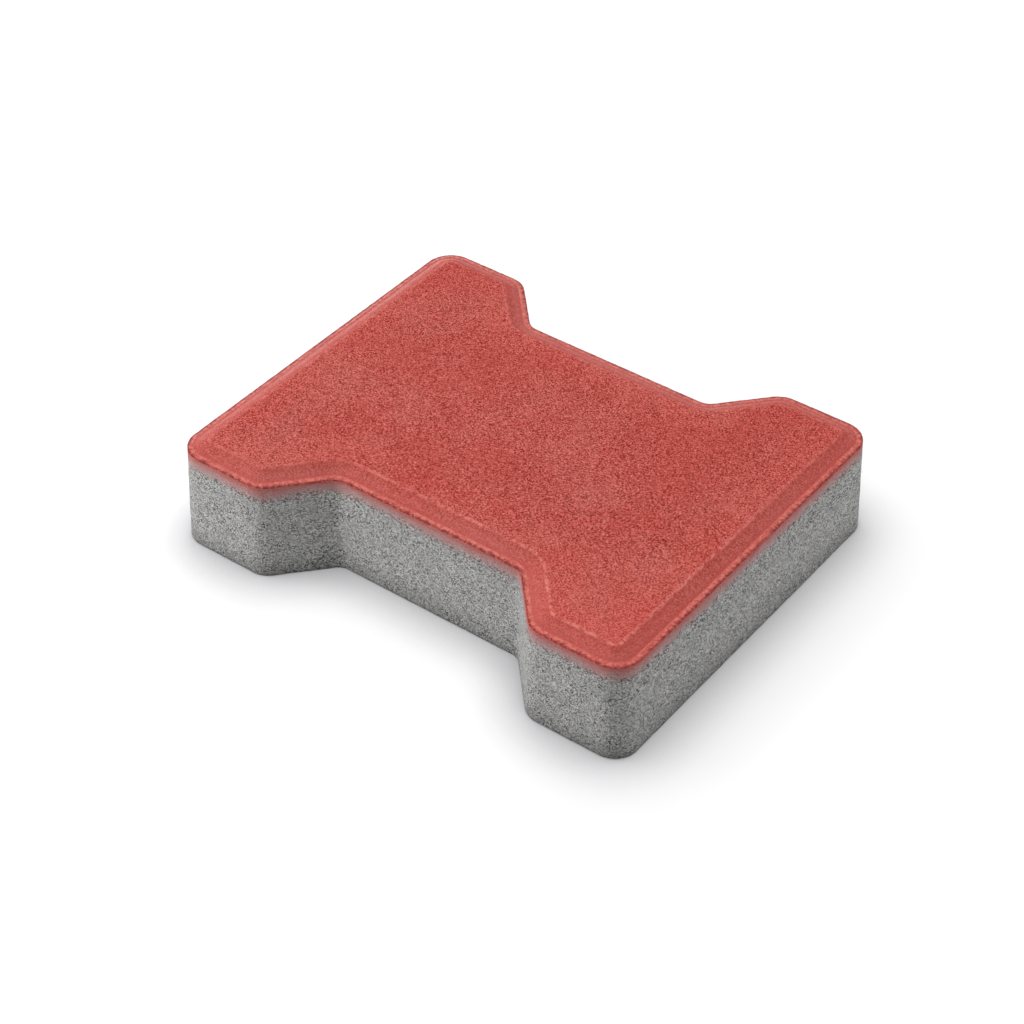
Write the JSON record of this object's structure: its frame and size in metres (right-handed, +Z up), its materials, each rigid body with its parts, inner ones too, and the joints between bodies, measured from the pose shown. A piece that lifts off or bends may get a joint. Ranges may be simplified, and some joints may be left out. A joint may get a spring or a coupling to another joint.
{
  "type": "concrete paving stone",
  "caption": "Double-T interlocking concrete paving stone with a red chamfered face layer on a grey base, laid in a bonded pavement whose heads lock into the neighbours' waists.",
  "frame": {"origin": "middle of the bed face, the flat face that the stone lies on", "axes": "+X along the stone from head to head, +Y across it towards a notch, +Z up to the red face"},
  "size_m": [0.2, 0.161, 0.044],
  "materials": {
    "base_concrete": "matt, open-grained grey concrete",
    "face_concrete": "matt, fine-grained red pigmented concrete"
  },
  "bodies": {
    "root": {"base_concrete": "base_concrete", "face_layer": "face_concrete"}
  },
  "joints": []
}
